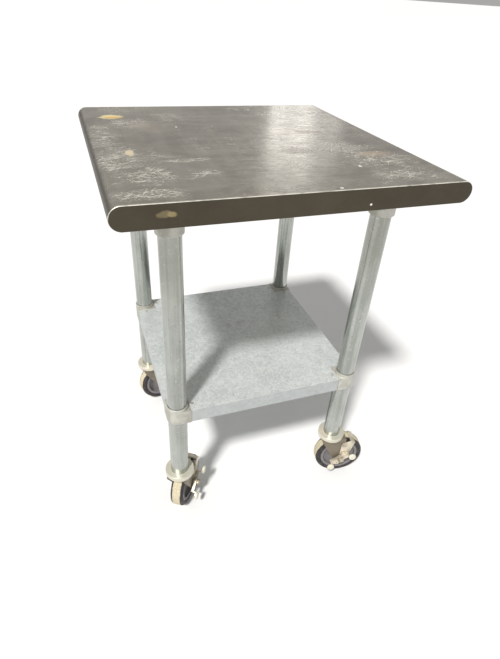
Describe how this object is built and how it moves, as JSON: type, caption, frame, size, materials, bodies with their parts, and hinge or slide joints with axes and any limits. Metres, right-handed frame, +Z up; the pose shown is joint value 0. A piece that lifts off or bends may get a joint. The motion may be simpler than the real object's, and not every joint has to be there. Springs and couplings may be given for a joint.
{
  "type": "work table",
  "caption": "Square restaurant work table: folded stainless worktop with two rolled edges, round tube legs, galvanised undershelf and swivel stem casters with side brakes at the front.",
  "frame": {"origin": "on the floor, under the middle of the worktop", "axes": "+Z up; X runs between the worktop's two rolled edges; Y runs between its two flat ends, with the braked casters at -Y"},
  "size_m": [0.6094, 0.6096, 0.8382],
  "materials": {
    "stainless": "worn, brushed lengthwise",
    "galvanised_sheet": "spangled zinc",
    "galvanised_tube": "drawn, dull zinc",
    "cast_aluminium": "as cast, dull",
    "zinc_plated_steel": "stained zinc plate",
    "hardened_steel": "bright",
    "tyre_rubber": "matt, dusty tread",
    "core_plastic": "matt grey",
    "pad_plastic": "worn cream",
    "bush_plastic": "natural nylon",
    "sleeve_rubber": "matt black"
  },
  "bodies": {
    "table": {"worktop": "stainless", "hat_channel_left": "galvanised_sheet", "hat_channel_right": "galvanised_sheet", "channel_studs": "zinc_plated_steel", "channel_nuts": "zinc_plated_steel", "leg_set_screws": "hardened_steel", "undershelf": "galvanised_sheet", "shelf_rivets": "cast_aluminium", "expander_sleeves": "sleeve_rubber", "expander_nuts": "zinc_plated_steel", "swivel_balls": "hardened_steel", "leg_socket_front_left": "galvanised_sheet", "leg_front_left": "galvanised_tube", "shelf_corner_front_left": "cast_aluminium", "caster_stem_front_left": "zinc_plated_steel", "leg_socket_front_right": "galvanised_sheet", "leg_front_right": "galvanised_tube", "shelf_corner_front_right": "cast_aluminium", "caster_stem_front_right": "zinc_plated_steel", "leg_socket_back_left": "galvanised_sheet", "leg_back_left": "galvanised_tube", "shelf_corner_back_left": "cast_aluminium", "caster_stem_back_left": "zinc_plated_steel", "leg_socket_back_right": "galvanised_sheet", "leg_back_right": "galvanised_tube", "shelf_corner_back_right": "cast_aluminium", "caster_stem_back_right": "zinc_plated_steel"},
    "fork_front_left": {"caster_fork_front_left": "zinc_plated_steel", "axle_bolt_front_left": "zinc_plated_steel", "axle_nut_front_left": "zinc_plated_steel", "brake_pivot_front_left": "zinc_plated_steel"},
    "wheel_front_left": {"wheel_core_front_left": "core_plastic", "wheel_tyre_front_left": "tyre_rubber", "axle_bush_front_left": "bush_plastic"},
    "rocker_front_left": {"brake_rocker_front_left": "zinc_plated_steel", "brake_pads_front_left": "pad_plastic"},
    "shoe_front_left": {"brake_shoe_front_left": "zinc_plated_steel"},
    "fork_front_right": {"caster_fork_front_right": "zinc_plated_steel", "axle_bolt_front_right": "zinc_plated_steel", "axle_nut_front_right": "zinc_plated_steel", "brake_pivot_front_right": "zinc_plated_steel"},
    "wheel_front_right": {"wheel_core_front_right": "core_plastic", "wheel_tyre_front_right": "tyre_rubber", "axle_bush_front_right": "bush_plastic"},
    "rocker_front_right": {"brake_rocker_front_right": "zinc_plated_steel", "brake_pads_front_right": "pad_plastic"},
    "shoe_front_right": {"brake_shoe_front_right": "zinc_plated_steel"},
    "fork_back_left": {"caster_fork_back_left": "zinc_plated_steel", "axle_bolt_back_left": "zinc_plated_steel", "axle_nut_back_left": "zinc_plated_steel"},
    "wheel_back_left": {"wheel_core_back_left": "core_plastic", "wheel_tyre_back_left": "tyre_rubber", "axle_bush_back_left": "bush_plastic"},
    "fork_back_right": {"caster_fork_back_right": "zinc_plated_steel", "axle_bolt_back_right": "zinc_plated_steel", "axle_nut_back_right": "zinc_plated_steel"},
    "wheel_back_right": {"wheel_core_back_right": "core_plastic", "wheel_tyre_back_right": "tyre_rubber", "axle_bush_back_right": "bush_plastic"}
  },
  "joints": [
    {"name": "swivel_front_left", "type": "hinge", "parent": "table", "child": "fork_front_left", "pos_m": [-0.2032, -0.2052, 0.1403], "axis": [0, 0, 1], "continuous": true},
    {"name": "roll_front_left", "type": "hinge", "parent": "fork_front_left", "child": "wheel_front_left", "pos_m": [-0.18614, -0.17991, 0.0635], "axis": [0.829, -0.5592, 0], "continuous": true},
    {"name": "brake_front_left", "type": "hinge", "parent": "fork_front_left", "child": "rocker_front_left", "pos_m": [-0.18614, -0.17991, 0.0635], "axis": [0.829, -0.5592, 0], "range_deg": [-13.5, 0]},
    {"name": "shoe_front_left", "type": "hinge", "parent": "fork_front_left", "child": "shoe_front_left", "pos_m": [-0.18363, -0.17618, 0.113], "axis": [0.829, -0.5592, 0], "range_deg": [0, 6.3]},
    {"name": "swivel_front_right", "type": "hinge", "parent": "table", "child": "fork_front_right", "pos_m": [0.2032, -0.2052, 0.1403], "axis": [0, 0, 1], "continuous": true},
    {"name": "roll_front_right", "type": "hinge", "parent": "fork_front_right", "child": "wheel_front_right", "pos_m": [0.23303, -0.21154, 0.0635], "axis": [-0.2079, -0.9781, 0], "continuous": true},
    {"name": "brake_front_right", "type": "hinge", "parent": "fork_front_right", "child": "rocker_front_right", "pos_m": [0.23303, -0.21154, 0.0635], "axis": [-0.2079, -0.9781, 0], "range_deg": [-13.5, 0]},
    {"name": "shoe_front_right", "type": "hinge", "parent": "fork_front_right", "child": "shoe_front_right", "pos_m": [0.23744, -0.21248, 0.113], "axis": [-0.2079, -0.9781, 0], "range_deg": [0, 6.3]},
    {"name": "swivel_back_left", "type": "hinge", "parent": "table", "child": "fork_back_left", "pos_m": [-0.2032, 0.2052, 0.1403], "axis": [0, 0, 1], "continuous": true},
    {"name": "roll_back_left", "type": "hinge", "parent": "fork_back_left", "child": "wheel_back_left", "pos_m": [-0.17374, 0.21309, 0.0635], "axis": [0.2588, -0.9659, 0], "continuous": true},
    {"name": "swivel_back_right", "type": "hinge", "parent": "table", "child": "fork_back_right", "pos_m": [0.2032, 0.2052, 0.1403], "axis": [0, 0, 1], "continuous": true},
    {"name": "roll_back_right", "type": "hinge", "parent": "fork_back_right", "child": "wheel_back_right", "pos_m": [0.23368, 0.20414, 0.0635], "axis": [-0.0349, -0.9994, 0], "continuous": true}
  ],
  "couplings": [
    {"joint": "shoe_front_left", "follows": "brake_front_left", "ratio": -0.457},
    {"joint": "shoe_front_right", "follows": "brake_front_right", "ratio": -0.457}
  ]
}
